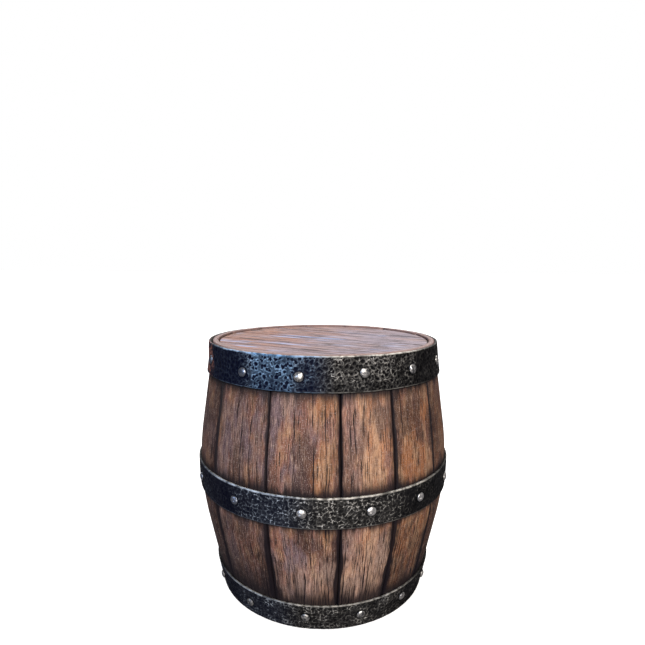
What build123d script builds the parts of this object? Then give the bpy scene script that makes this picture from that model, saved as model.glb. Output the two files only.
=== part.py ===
from build123d import *
import os
from math import atan2, cos, degrees, radians, sin, sqrt

# A small wooden beer keg standing on one end: bowed staves held by three nailed iron hoops,
# a jointed head in each end, a filling bung and a tap hole closed by a keystone.
# Millimetres. The keg's axis is Z and it stands on z = 0.
# Angles round the keg are measured from the front (-Y) and grow towards +X.

# Driving dimensions
keg_height = 450.0
bilge_radius = 221.5  # outside of the staves at half height
bow_radius = 492.0  # bend of each stave's middle stretch
bow_half_height = 84.0  # beyond this the staves run straight to their ends
stave_thickness = 22.0

first_joint_angle = -79.5
stave_widths = [28.5, 28.5, 29.5, 23.0, 24.5, 25.0, 28.0, 31.0, 28.0, 27.0, 30.0, 27.0, 30.0]
bung_stave = 10  # the stave facing the back, counted from 1
joint_gap = 5.0  # open weathered joint between neighbouring staves
joint_gap_depth = 4.0
joint_gap_end = 25.0  # the open part stops under the end hoops

hoop_thickness = 3.4
end_hoop_width = 50.5
end_hoop_setback = 0.75  # from the stave ends
bilge_hoop_width = 49.6
lap_half_angle = 8.0  # the riveted overlap where a hoop is closed
lap_rivet_angle = 4.0

nail_head_radius = 7.5
nail_head_height = 3.8
nail_shank_radius = 2.5
nail_depth_in_wood = 16.0
# Hand-driven nails that stand off the middle of their stave and hoop, by hoop and stave:
# degrees towards +X and millimetres up
nail_drift = {
    ("top_hoop", 2): (0.3, -4.0),
    ("top_hoop", 3): (-2.2, -2.8),
    ("top_hoop", 4): (-1.5, 2.0),
    ("top_hoop", 5): (-0.6, 0.0),
    ("bottom_hoop", 2): (-0.8, -2.2),
    ("bottom_hoop", 5): (0.8, 2.8),
}

chime_radius = 181.0  # inside of the thin rim that stands round each head
chime_depth = 8.0
croze_radius = 186.0  # bottom of the groove that holds the head
croze_width = 8.0
head_recess = 3.0
head_thickness = 22.0
head_rim_gap = 1.5
head_fit_gap = 0.3
head_inner_radius = 169.8
head_seams = [92.0, 4.0, -70.0, -120.0]  # measured across the boards from the keg's axis
top_board_angle = -26.0
bottom_board_angle = 35.0
dowel_radius = 4.0
dowel_length = 40.0
dowel_offset = 60.0
dowel_inset = 15.0  # below the stave ends

bung_height = 325.0
bung_bore_radii = (21.0, 19.5)  # at the flange, at the inside of the keg
bung_bush_radius = 27.0
bung_flange_radius = 33.5
bung_clearance = 0.08
bung_length = 29.5
bung_stand_out = 10.0
bung_chamfer = 2.5

tap_height = 100.0
tap_bore_radii = (15.0, 14.0)
tap_bush_radius = 19.5
tap_flange_radius = 25.0
keystone_thickness = 14.0

bush_recess = 2.0  # flange below the stave's surface on the hole's axis
flange_thickness = 3.0
bush_length = 19.5
pocket_gap = 0.5

# Values that follow from them
middle = keg_height / 2
reach = 2 * bilge_radius  # longer than anything measured from the axis
arc_run = sqrt(bow_radius**2 - bow_half_height**2)
bow_drop = bow_radius - arc_run
taper = bow_half_height / arc_run  # slope of the straight ends
taper_angle = degrees(atan2(bow_half_height, arc_run))
end_drop = bow_drop + taper * (middle - bow_half_height)


def outside_radius(z):
    """Radius of the staves' outer face at height z, in the straight ends or at half height."""
    from_middle = abs(z - middle)
    if from_middle < bow_half_height:
        return bilge_radius - bow_radius + sqrt(bow_radius**2 - from_middle**2)
    return bilge_radius - bow_drop - taper * (from_middle - bow_half_height)


def outward_tilt(z):
    """Angle by which the outer face leans up (+) or down (-) at height z."""
    from_middle = z - middle
    if abs(from_middle) < bow_half_height:
        return degrees(atan2(from_middle, sqrt(bow_radius**2 - from_middle**2)))
    return taper_angle if from_middle > 0 else -taper_angle


def barrel(offset):
    """Solid with the keg's outer shape, grown or shrunk by a radial offset."""
    end = bilge_radius - end_drop + offset
    bow = bilge_radius - bow_drop + offset
    low = middle - bow_half_height
    high = middle + bow_half_height
    outline = [
        Line((0, 0), (end, 0)),
        Line((end, 0), (bow, low)),
        ThreePointArc((bow, low), (bilge_radius + offset, middle), (bow, high)),
        Line((bow, high), (end, keg_height)),
        Line((end, keg_height), (0, keg_height)),
        Line((0, keg_height), (0, 0)),
    ]
    return revolve(Plane.XZ * make_face(outline), axis=Axis.Z)


def slab(low, high):
    """Everything between two heights."""
    return Pos(0, 0, (low + high) / 2) * Box(2 * reach, 2 * reach, high - low)


def disc(radius, low, high):
    """Round plate on the Z axis between two heights."""
    return Pos(0, 0, (low + high) / 2) * Cylinder(radius, high - low)


def sector(start, end):
    """Slice of the keg between two angles from the front."""
    half = radians((end - start) / 2)
    side = reach * sin(half)
    front = -reach * cos(half)
    corners = [(0, 0), (side, front), (0, -1.2 * reach), (-side, front)]
    wedge = extrude(make_face(Polyline(*corners, close=True)), amount=keg_height)
    return Rot(0, 0, (start + end) / 2) * wedge


def on_surface(z, angle, offset=0.0):
    """Frame on the outer face at a height and angle, its own Z pointing outward."""
    tilt = radians(outward_tilt(z))
    face = Plane(
        origin=(0, -outside_radius(z) - offset, z),
        x_dir=(1, 0, 0),
        z_dir=(0, -cos(tilt), sin(tilt)),
    )
    return Rot(0, 0, angle) * face.location


def mirrored_at_middle(shape):
    return mirror(shape, about=Plane.XY.offset(middle))


def group(solids):
    """Separate solids kept together in one node."""
    return Compound(children=list(solids))


# Stave joints and the middle of each stave
joint_angles = [first_joint_angle]
for width in stave_widths:
    joint_angles.append(joint_angles[-1] + width)
stave_spans = list(zip(joint_angles[:-1], joint_angles[1:]))
stave_centres = [(start + end) / 2 for start, end in stave_spans]

# Height of each hoop, and the stave that its riveted lap lies on
hoops = {
    "top_hoop": {
        "low": keg_height - end_hoop_setback - end_hoop_width,
        "high": keg_height - end_hoop_setback,
        "lap": 9,
    },
    "bilge_hoop": {
        "low": middle - bilge_hoop_width / 2,
        "high": middle + bilge_hoop_width / 2,
        "lap": 11,
    },
    "bottom_hoop": {
        "low": end_hoop_setback,
        "high": end_hoop_setback + end_hoop_width,
        "lap": 9,
    },
}

wood_shape = barrel(0)
hoop_shape = barrel(hoop_thickness)
lap_shape = barrel(2 * hoop_thickness)


def dome():
    """Domed head, its underside still to be fitted to the iron below it."""
    sphere_radius = (nail_head_radius**2 + nail_head_height**2) / (2 * nail_head_height)
    ball = Pos(0, 0, nail_head_height - sphere_radius) * Sphere(sphere_radius)
    stub = Pos(0, 0, nail_head_height / 2) * Cylinder(nail_head_radius, 2 * nail_head_height)
    return ball & stub


def shank(length):
    """Round shank reaching inward from a head, and outward into it."""
    overlap = nail_head_height / 2
    return Pos(0, 0, (overlap - length) / 2) * Cylinder(nail_shank_radius, length + overlap)


def hoop_height(hoop):
    return (hoop["low"] + hoop["high"]) / 2


def nail_places(name):
    """Stave, angle and height of each nail of a hoop. There is none where the hoop is lapped."""
    hoop = hoops[name]
    places = []
    for stave, angle in enumerate(stave_centres, 1):
        if stave != hoop["lap"]:
            turn, rise = nail_drift.get((name, stave), (0, 0))
            places.append((stave, angle + turn, hoop_height(hoop) + rise))
    return places


def rivet_angles(hoop):
    centre = stave_centres[hoop["lap"] - 1]
    return [centre - lap_rivet_angle, centre + lap_rivet_angle]


def nail_shank(angle, z):
    """Shank of a nail, also used to bore the hoop and the stave."""
    length = hoop_thickness + nail_depth_in_wood
    return on_surface(z, angle, hoop_thickness) * shank(length)


def rivet_shank(hoop, angle):
    return on_surface(hoop_height(hoop), angle, 2 * hoop_thickness) * shank(2.5 * hoop_thickness)


def hoop_nails(name):
    """One nail through the hoop into each stave."""
    nails = []
    for stave, angle, z in nail_places(name):
        head = on_surface(z, angle, hoop_thickness) * dome() - hoop_shape
        nails.append(head + nail_shank(angle, z))
    return nails


def lap_rivets(hoop):
    """Two rivets that close the hoop's lap, flush inside."""
    rivets = []
    for angle in rivet_angles(hoop):
        head = on_surface(hoop_height(hoop), angle, 2 * hoop_thickness) * dome() - lap_shape
        rivets.append(head + (rivet_shank(hoop, angle) - wood_shape))
    return rivets


def hoop_band(name):
    """Flat iron band with one end lapped over the other, bored for its nails and rivets."""
    hoop = hoops[name]
    level = slab(hoop["low"], hoop["high"])
    centre = stave_centres[hoop["lap"] - 1]
    lap_sector = sector(centre - lap_half_angle, centre + lap_half_angle)
    nail_holes = [nail_shank(angle, z) for stave, angle, z in nail_places(name)]
    rivet_holes = [rivet_shank(hoop, angle) for angle in rivet_angles(hoop)]
    band = (hoop_shape & level) - wood_shape - (nail_holes + rivet_holes)
    lap = (lap_shape & level & lap_sector) - hoop_shape
    return band + (lap - rivet_holes)


# Bung and tap hole: each has a metal bush in the back stave
def frustum(low, high, low_radius, high_radius):
    """Cone between two depths of a hole's own frame, from its axis."""
    return Pos(0, 0, (low + high) / 2) * Cone(low_radius, high_radius, high - low)


def bore_radius(radii, depth):
    """Radius of a tapered bore at a depth measured outward from the stave's surface."""
    outer, inner = radii
    along = (depth + bush_recess) / bush_length
    return outer + (outer - inner) * along


def hole_frame(z):
    return on_surface(z, 180)


def bush(z, radii, body_radius, flange_radius):
    """Flanged metal bush with a tapered bore."""
    top = -bush_recess
    under = top - flange_thickness
    end = top - bush_length
    flange = disc(flange_radius, under, top)
    sleeve = disc(body_radius, end, under)
    bore = frustum(end, top, radii[1], radii[0])
    return hole_frame(z) * (flange + sleeve - bore)


def bush_seat(z, body_radius, flange_radius):
    """Hole and flat-bottomed pocket cut in the stave for a bush."""
    under = -bush_recess - flange_thickness
    pocket = disc(flange_radius + pocket_gap, under, stave_thickness)
    hole = disc(body_radius, -2 * stave_thickness, under)
    return hole_frame(z) * (pocket + hole)


def bung_solid():
    low = bung_stand_out - bung_length
    low_radius = bore_radius(bung_bore_radii, low) - bung_clearance
    high_radius = bore_radius(bung_bore_radii, bung_stand_out) - bung_clearance
    plug = frustum(low, bung_stand_out, low_radius, high_radius)
    plug = chamfer(plug.edges().sort_by(Axis.Z)[-1], bung_chamfer)
    return hole_frame(bung_height) * plug


def keystone_solid():
    """Wooden disc pressed into the tap bush, flush with its flange."""
    top = -bush_recess
    low = top - keystone_thickness
    low_radius = bore_radius(tap_bore_radii, low)
    return hole_frame(tap_height) * frustum(low, top, low_radius, tap_bore_radii[0])


# Heads
def head_solid():
    """Top head in one piece: outer disc, tongue in the croze, inner disc."""
    face = keg_height - head_recess
    tongue_top = keg_height - chime_depth - head_fit_gap
    tongue_bottom = keg_height - chime_depth - croze_width
    return (
        disc(chime_radius - head_rim_gap, tongue_top, face)
        + disc(croze_radius - head_fit_gap, tongue_bottom, tongue_top)
        + disc(head_inner_radius, face - head_thickness, tongue_bottom)
    )


def head_dowels():
    """Dowels across each seam, in the boards' own direction."""
    z = keg_height - dowel_inset
    lying = Rot(90, 0, 0) * Cylinder(dowel_radius, dowel_length)
    return [Pos(side * dowel_offset, seam, z) * lying for seam in head_seams for side in (-1, 1)]


def head_boards(dowels):
    """The head cut along its seams and bored for the dowels."""
    whole = head_solid()
    for dowel in dowels:
        whole = whole - dowel
    edges = [reach] + head_seams + [-reach]
    boards = []
    for far, near in zip(edges[:-1], edges[1:]):
        strip = Pos(0, (far + near) / 2, middle) * Box(2 * reach, far - near, 2 * keg_height)
        boards.append(whole & strip)
    return boards


# Staves
def stave_ring():
    """All staves as one ring: hollow, with the croze and chime cut at both ends."""
    ring = wood_shape - barrel(-stave_thickness)
    chime = disc(chime_radius, keg_height - chime_depth, keg_height)
    croze = disc(croze_radius, keg_height - chime_depth - croze_width, keg_height - chime_depth)
    for cut in (chime, croze):
        ring = ring - cut - mirrored_at_middle(cut)
    return ring


def joint_groove():
    """Open outer part of a stave joint, at the front."""
    skin = hoop_shape - barrel(-joint_gap_depth)
    slot = Pos(0, -reach / 2, middle) * Box(joint_gap, reach, keg_height - 2 * joint_gap_end)
    return skin & slot


def make_staves():
    ring = stave_ring()
    groove = joint_groove()
    staves = []
    for number, (start, end) in enumerate(stave_spans, 1):
        stave = ring & sector(start, end)
        stave = stave - Rot(0, 0, start) * groove - Rot(0, 0, end) * groove
        for name in hoops:
            for nailed_stave, angle, z in nail_places(name):
                if nailed_stave == number:
                    stave = stave - nail_shank(angle, z)
        if number == bung_stave:
            stave = stave - bush_seat(bung_height, bung_bush_radius, bung_flange_radius)
            stave = stave - bush_seat(tap_height, tap_bush_radius, tap_flange_radius)
        staves.append(stave)
    return staves


# Build every node
nodes = {}
for number, stave in enumerate(make_staves(), 1):
    nodes[f"stave_{number:02d}"] = stave

rivets = []
for name, hoop in hoops.items():
    nodes[name] = hoop_band(name)
    nodes[name + "_nails"] = group(hoop_nails(name))
    rivets += lap_rivets(hoop)
nodes["hoop_lap_rivets"] = group(rivets)

dowels = head_dowels()
for number, board in enumerate(head_boards(dowels), 1):
    nodes[f"top_head_board_{number}"] = Rot(0, 0, top_board_angle) * board
    nodes[f"bottom_head_board_{number}"] = Rot(0, 0, bottom_board_angle) * mirrored_at_middle(board)
top_turn = Rot(0, 0, top_board_angle)
bottom_turn = Rot(0, 0, bottom_board_angle)
nodes["top_head_dowels"] = group(top_turn * dowel for dowel in dowels)
nodes["bottom_head_dowels"] = group(bottom_turn * mirrored_at_middle(dowel) for dowel in dowels)

nodes["bung_bush"] = bush(bung_height, bung_bore_radii, bung_bush_radius, bung_flange_radius)
nodes["bung"] = bung_solid()
nodes["tap_bush"] = bush(tap_height, tap_bore_radii, tap_bush_radius, tap_flange_radius)
nodes["tap_keystone"] = keystone_solid()

os.makedirs("parts", exist_ok=True)
for name, shape in nodes.items():
    export_step(shape, f"parts/{name}.step")
    print(name, len(shape.solids()), round(shape.volume), "mm3")
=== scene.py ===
import math

import bmesh
import bpy
import numpy as np
from mathutils import Matrix, Vector


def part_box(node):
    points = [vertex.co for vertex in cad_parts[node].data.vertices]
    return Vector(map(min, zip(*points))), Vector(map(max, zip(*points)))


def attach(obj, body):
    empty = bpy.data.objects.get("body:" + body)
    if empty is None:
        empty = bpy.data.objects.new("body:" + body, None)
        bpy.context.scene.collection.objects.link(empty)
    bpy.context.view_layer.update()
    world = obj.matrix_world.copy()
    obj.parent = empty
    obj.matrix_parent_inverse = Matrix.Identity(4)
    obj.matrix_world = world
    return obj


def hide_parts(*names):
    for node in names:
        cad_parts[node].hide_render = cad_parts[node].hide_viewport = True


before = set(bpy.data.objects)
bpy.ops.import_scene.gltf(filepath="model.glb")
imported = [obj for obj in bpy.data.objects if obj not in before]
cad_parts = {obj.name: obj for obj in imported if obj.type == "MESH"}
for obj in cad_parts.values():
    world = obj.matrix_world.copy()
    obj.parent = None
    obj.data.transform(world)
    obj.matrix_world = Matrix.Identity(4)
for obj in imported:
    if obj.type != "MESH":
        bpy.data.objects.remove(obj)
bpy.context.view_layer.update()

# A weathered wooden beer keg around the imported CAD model: bowed staves with open joints and split grain,
# hammered iron hoops, dented nail heads and jointed heads. It stands on z = 0, round the Z axis.
# Lengths are in metres. Angles round the keg are from the front (-Y) and grow towards +X.

MM = 0.001
KEG_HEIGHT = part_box("stave_01")[1].z
MIDDLE = KEG_HEIGHT / 2
HOOP_THICKNESS = 3.4 * MM
BILGE_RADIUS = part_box("bilge_hoop")[1].x - HOOP_THICKNESS
BOW_RADIUS = 492 * MM  # bend of each stave's middle stretch
BOW_HALF_HEIGHT = 84 * MM  # beyond this the staves run straight
STAVE_THICKNESS = 22 * MM
CHIME_RADIUS = 181 * MM  # inside of the rim round each head
CHIME_DEPTH = 8 * MM
CROZE_RADIUS = 186 * MM
CROZE_WIDTH = 8 * MM
HOOPS = ("top_hoop", "bilge_hoop", "bottom_hoop")
FASTENER_GAP = 0.02  # least angle between neighbouring nails or rivets


# ---- measuring the frame


def node_points(node):
    """Vertices of a CAD node, as an array."""
    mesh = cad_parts[node].data
    points = np.zeros(len(mesh.vertices) * 3)
    mesh.vertices.foreach_get("co", points)
    return points.reshape(-1, 3)


def angles_of(points):
    return np.arctan2(points[:, 0], -points[:, 1])


def angle_span(node):
    """First and last angle that a node covers."""
    angles = angles_of(node_points(node))
    if np.ptp(angles) > math.pi:  # it crosses the back
        angles = np.where(angles < 0, angles + 2 * math.pi, angles)
    return angles.min(), angles.max()


def fastener_spots(node, lift):
    """Angle of each nail or rivet in a node, and its height on the staves below its head."""
    points = node_points(node)
    spots = []
    for low, high in [hoop_span(hoop) for hoop in HOOPS]:
        level = points[(points[:, 2] > low) & (points[:, 2] < high)]
        if len(level) == 0:
            continue
        angles = angles_of(level)
        in_turn = np.sort(angles)
        if in_turn[0] + 2 * math.pi - in_turn[-1] < FASTENER_GAP:  # one lies on the back
            last_gap = in_turn[:-1][np.diff(in_turn) > FASTENER_GAP][-1]
            angles = np.where(angles > last_gap, angles - 2 * math.pi, angles)
        order = np.argsort(angles)
        for group in np.split(order, np.where(np.diff(angles[order]) > FASTENER_GAP)[0] + 1):
            angle = (angles[group].min() + angles[group].max()) / 2
            z = (level[group, 2].min() + level[group, 2].max()) / 2
            spots.append((angle, z - lift * math.sin(stave_tilt(z))))
    return spots


def hoop_span(node):
    low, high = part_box(node)
    return low.z, high.z


def stave_radius(z):
    """Radius of the staves' outer face at height z."""
    away = np.abs(np.asarray(z, float) - MIDDLE)
    run = math.sqrt(BOW_RADIUS**2 - BOW_HALF_HEIGHT**2)
    bow = BOW_RADIUS - np.sqrt(BOW_RADIUS**2 - np.minimum(away, BOW_HALF_HEIGHT) ** 2)
    straight = np.maximum(away - BOW_HALF_HEIGHT, 0) * BOW_HALF_HEIGHT / run
    return BILGE_RADIUS - bow - straight


def stave_tilt(z):
    """Angle by which the outer face leans up or down at height z."""
    away = min(max(z - MIDDLE, -BOW_HALF_HEIGHT), BOW_HALF_HEIGHT)
    return math.asin(away / BOW_RADIUS)


def around(radius, angle, z):
    """Points at a radius, an angle from the front and a height."""
    x, y = radius * np.sin(angle), -radius * np.cos(angle)
    return np.stack([x, y, z + 0 * x], axis=-1)


# ---- noise and relief

CELL_SCATTER = 0.4  # how far a point strays from the middle of its cell
LINE_SPACING = 0.0047  # of the thin grain lines
# ranges for a crack's half length (as a share of the board), half width and depth (mm), and darkness
LONG_CRACK = ((0.15, 0.36), (0.8, 1.25), (0.9, 1.7), (0.8, 1))
SHORT_CRACK = ((0.02, 0.08), (0.55, 0.9), (0.35, 1), (0.45, 1))


def hashed(i, j, seed):
    """Repeatable number from -1 to 1 for each lattice point."""
    h = (i.astype(np.int64) * 374761393 + j.astype(np.int64) * 668265263 + seed * 974634777) & 0xFFFFFFFF
    h = ((h ^ (h >> 13)) * 1274126177) & 0xFFFFFFFF
    h = ((h ^ (h >> 16)) * 2246822519) & 0xFFFFFFFF
    return (h ^ (h >> 15)) / 2147483647.5 - 1


def noise(x, y, seed):
    """Smooth noise from -1 to 1, one bump per unit."""
    x, y = np.broadcast_arrays(np.asarray(x, float), np.asarray(y, float))
    i, j = np.floor(x), np.floor(y)
    u, v = x - i, y - j
    u, v = u * u * (3 - 2 * u), v * v * (3 - 2 * v)
    low = hashed(i, j, seed) * (1 - u) + hashed(i + 1, j, seed) * u
    high = hashed(i, j + 1, seed) * (1 - u) + hashed(i + 1, j + 1, seed) * u
    return low * (1 - v) + high * v


def smooth(x, low, high):
    """0 below low, 1 above high, eased between."""
    t = np.clip((x - low) / (high - low), 0, 1)
    return t * t * (3 - 2 * t)


def cells(x, y, columns, seed):
    """Scattered points, one per unit cell, wrapping in x: nearest and second nearest distance,
    and a number from -1 to 1 that belongs to the nearest point."""
    i, j = np.floor(x), np.floor(y)
    nearest = np.full(x.shape, 9.0)
    second = np.full(x.shape, 9.0)
    own = np.zeros(x.shape)
    for k in range(9):
        ci, cj = i + k // 3 - 1, j + k % 3 - 1
        wrapped = np.mod(ci, columns)
        px = ci + 0.5 + CELL_SCATTER * hashed(wrapped, cj, seed)
        py = cj + 0.5 + CELL_SCATTER * hashed(wrapped, cj, seed + 1)
        away = np.hypot(x - px, y - py)
        second = np.where(away < nearest, nearest, np.minimum(second, away))
        own = np.where(away < nearest, hashed(wrapped, cj, seed + 2), own)
        nearest = np.minimum(nearest, away)
    return nearest, second, own


def cracks(across, along, width, length, seed, count, long_count):
    """Splits along the grain: how deep (metres) and how dark (0 to 1) at each point."""
    rng = np.random.default_rng(seed)
    depth = np.zeros(np.broadcast(across, along).shape)
    dark = np.zeros(depth.shape)
    for k in range(count + long_count):
        kind = SHORT_CRACK if k < count else LONG_CRACK
        centre = rng.uniform(0.07, 0.93) * width
        middle = rng.uniform(0.0, 1.0) * length
        half, half_width, deep, strength = [rng.uniform(*limits) for limits in kind]
        wander = 2.4 * MM * noise(along / 0.06, k, seed)
        wander = wander + 0.55 * MM * noise(along / 0.011, 0, seed + k)
        ends = smooth(1 - np.abs(along - middle) / (length * half), 0, 0.5)
        broken = 0.6 + 0.4 * noise(along / 0.018, 3 * k, seed + 5)
        reach = half_width * MM * (0.35 + 0.65 * ends)
        profile = ends * broken * np.exp(-(((across - centre - wander) / reach) ** 2))
        depth = np.maximum(depth, deep * MM * profile)
        dark = np.maximum(dark, strength * smooth(profile, 0.12, 0.75))
    return depth, dark


def wood_relief(across, along, width, length, seed, lined, count=30, long_count=7):
    """Depth below the sawn face and darkness of the wash left in it, for one board; lined is how
    strongly thin wavy grain lines show."""
    bent = across + 3 * MM * noise(across / 0.03, along / 0.11, seed)
    fine = noise(bent / 0.0023, along / 0.028, seed + 11)
    medium = noise(bent / 0.0048, along / 0.05, seed + 12)
    broad = noise(bent / 0.014, along / 0.12, seed + 13)
    grain = 0.22 * smooth(fine, 0.15, 0.9) + 0.34 * smooth(medium, 0.2, 0.85) + 0.3 * (broad + 1)
    phase = bent / LINE_SPACING + 0.9 * noise(across / 0.013, along / 0.1, seed + 14)
    phase = phase + 0.22 * noise(across / 0.006, along / 0.02, seed + 15)
    shown = smooth(noise(across / 0.007, along / 0.035, seed + 16), -0.35, 0.3)
    lines = lined * shown * (1 - smooth(np.abs(phase - np.round(phase)), 0.05, 0.19))
    split, dark = cracks(across, along, width, length, seed, count, long_count)
    wash = 0.3 * smooth(fine, 0.3, 0.9) + 0.22 * smooth(medium, 0.35, 0.85) + dark
    return (grain + 0.45 * lines) * MM + split, np.clip(np.maximum(wash, lines), 0, 1)


# ---- meshes


def bridge(a, b):
    """Triangles between two runs of vertices with different counts."""
    faces, k = [], 0
    for j in range(len(a) - 1):
        target = round((j + 1) * (len(b) - 1) / (len(a) - 1))
        faces.append((a[j], a[j + 1], b[k]))
        while k < target:
            faces.append((a[j + 1], b[k + 1], b[k]))
            k += 1
    return faces


def grid_faces(index, wrap_columns=False, wrap_rows=False):
    """Quads over a grid of vertex indices."""
    if wrap_columns:
        index = np.concatenate([index, index[:, :1]], axis=1)
    if wrap_rows:
        index = np.concatenate([index, index[:1]], axis=0)
    quads = [index[:-1, :-1], index[:-1, 1:], index[1:, 1:], index[1:, :-1]]
    return np.stack(quads, axis=-1).reshape(-1, 4).tolist()


def shell_index(points):
    """Vertex numbers of a shell's points, row by row."""
    return np.arange(points.shape[0] * points.shape[1]).reshape(points.shape[:2])


def shell_values(values, outer, inner, axis):
    """Attributes of a shell from what each one is on its outer and on its inner face."""
    flat, inner_flat = np.zeros(outer.shape[:2]), np.zeros(inner.shape[:2])
    return {
        name: np.concatenate([on_outer + flat, on_inner + inner_flat], axis=axis).ravel()
        for name, (on_outer, on_inner) in values.items()
    }


def rounded(from_edge, width, drop):
    """How far a face drops to its rounded edge."""
    inward = 1 - np.clip(from_edge / width, 0, 1)
    return drop * (1 - np.sqrt(1 - inward**2))


def added(name, data):
    """New object in the scene."""
    thing = bpy.data.objects.new(name, data)
    bpy.context.scene.collection.objects.link(thing)
    return thing


def plain_mesh(name, points, faces):
    """Mesh whose faces look outward."""
    mesh = bpy.data.meshes.new(name)
    mesh.from_pydata([tuple(p) for p in np.asarray(points).reshape(-1, 3)], [], faces)
    mesh.validate()
    work = bmesh.new()
    work.from_mesh(mesh)
    bmesh.ops.recalc_face_normals(work, faces=work.faces)
    work.to_mesh(mesh)
    work.free()
    return mesh


def mesh_piece(name, node, points, faces, material, attributes=None, body="keg"):
    """A closed smooth-shaded piece that rides on a body and stands for a CAD node."""
    mesh = plain_mesh(name, points, faces)
    for key, values in (attributes or {}).items():
        values = np.asarray(values, np.float32)
        kind = "FLOAT_VECTOR" if values.ndim == 2 else "FLOAT"
        layer = mesh.attributes.new(key, kind, "POINT")
        layer.data.foreach_set("vector" if values.ndim == 2 else "value", values.ravel())
    mesh.shade_smooth()
    piece = added(name, mesh)
    piece.data.materials.append(material)
    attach(piece, body)
    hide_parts(node)
    return piece


# ---- materials


class Graph:
    """Short way to write a material's nodes."""

    def __init__(self, name):
        self.material = bpy.data.materials.new(name)
        self.material.use_nodes = True
        self.tree = self.material.node_tree
        self.shader = next(n for n in self.tree.nodes if n.type == "BSDF_PRINCIPLED")

    def plug(self, socket, value):
        """Set or link an input; a string stands for the mesh attribute of that name."""
        if isinstance(value, str):
            value = self.attribute(value)
        if isinstance(value, bpy.types.NodeSocket):
            self.tree.links.new(value, socket)
        elif isinstance(value, tuple) and len(value) == 3 and socket.type == "RGBA":
            socket.default_value = (*value, 1)
        else:
            socket.default_value = value

    def node(self, kind, inputs=(), **settings):
        node = self.tree.nodes.new("ShaderNode" + kind)
        for key, value in settings.items():
            setattr(node, key, value)
        for key, value in dict(inputs).items():
            self.plug(node.inputs[key], value)
        return node

    def attribute(self, name, output="Fac"):
        return self.node("Attribute", attribute_name=name).outputs[output]

    def position(self):
        return self.node("TexCoord").outputs["Object"]

    def noise(self, vector, scale=1.0, detail=3.0, roughness=0.55):
        values = {"Vector": vector, "Scale": scale, "Detail": detail, "Roughness": roughness}
        return self.node("TexNoise", values).outputs["Fac"]

    def stretched(self, vector, factors, detail):
        """Noise with its own scale along each axis."""
        node = self.node("VectorMath", {0: vector, 1: factors}, operation="MULTIPLY")
        return self.noise(node.outputs[0], detail=detail)

    def math(self, operation, a, b=0.0, clamp=False):
        node = self.node("Math", {0: a, 1: b}, operation=operation, use_clamp=clamp)
        return node.outputs[0]

    def times(self, a, b):
        return self.math("MULTIPLY", a, b)

    def plus(self, a, b):
        return self.math("ADD", a, b)

    def ease(self, value, low, high, bottom=0.0, top=1.0):
        """Value eased from bottom at low to top at high."""
        values = {"Value": value, "From Min": low, "From Max": high, "To Min": bottom, "To Max": top}
        return self.node("MapRange", values, interpolation_type="SMOOTHSTEP").outputs[0]

    def mix(self, factor, a, b):
        return self.node("Mix", {0: factor, 6: a, 7: b}, data_type="RGBA").outputs[2]

    def layered(self, colour, layers):
        """Colour under layers of (value, low, high, bottom, top, tint): each tint covers it by the
        value eased from bottom at low to top at high."""
        for value, low, high, bottom, top, tint in layers:
            colour = self.mix(self.ease(value, low, high, bottom, top), colour, tint)
        return colour

    def bump(self, height, distance, strength=1.0):
        values = {"Height": height, "Distance": distance, "Strength": strength}
        return self.node("Bump", values).outputs[0]

    def finish(self, colour, roughness, **others):
        """Plug the shader; in others, an underscore stands for a space."""
        for key, value in {"Base Color": colour, "Roughness": roughness, **others}.items():
            self.plug(self.shader.inputs[key.replace("_", " ")], value)
        return self.material


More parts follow.
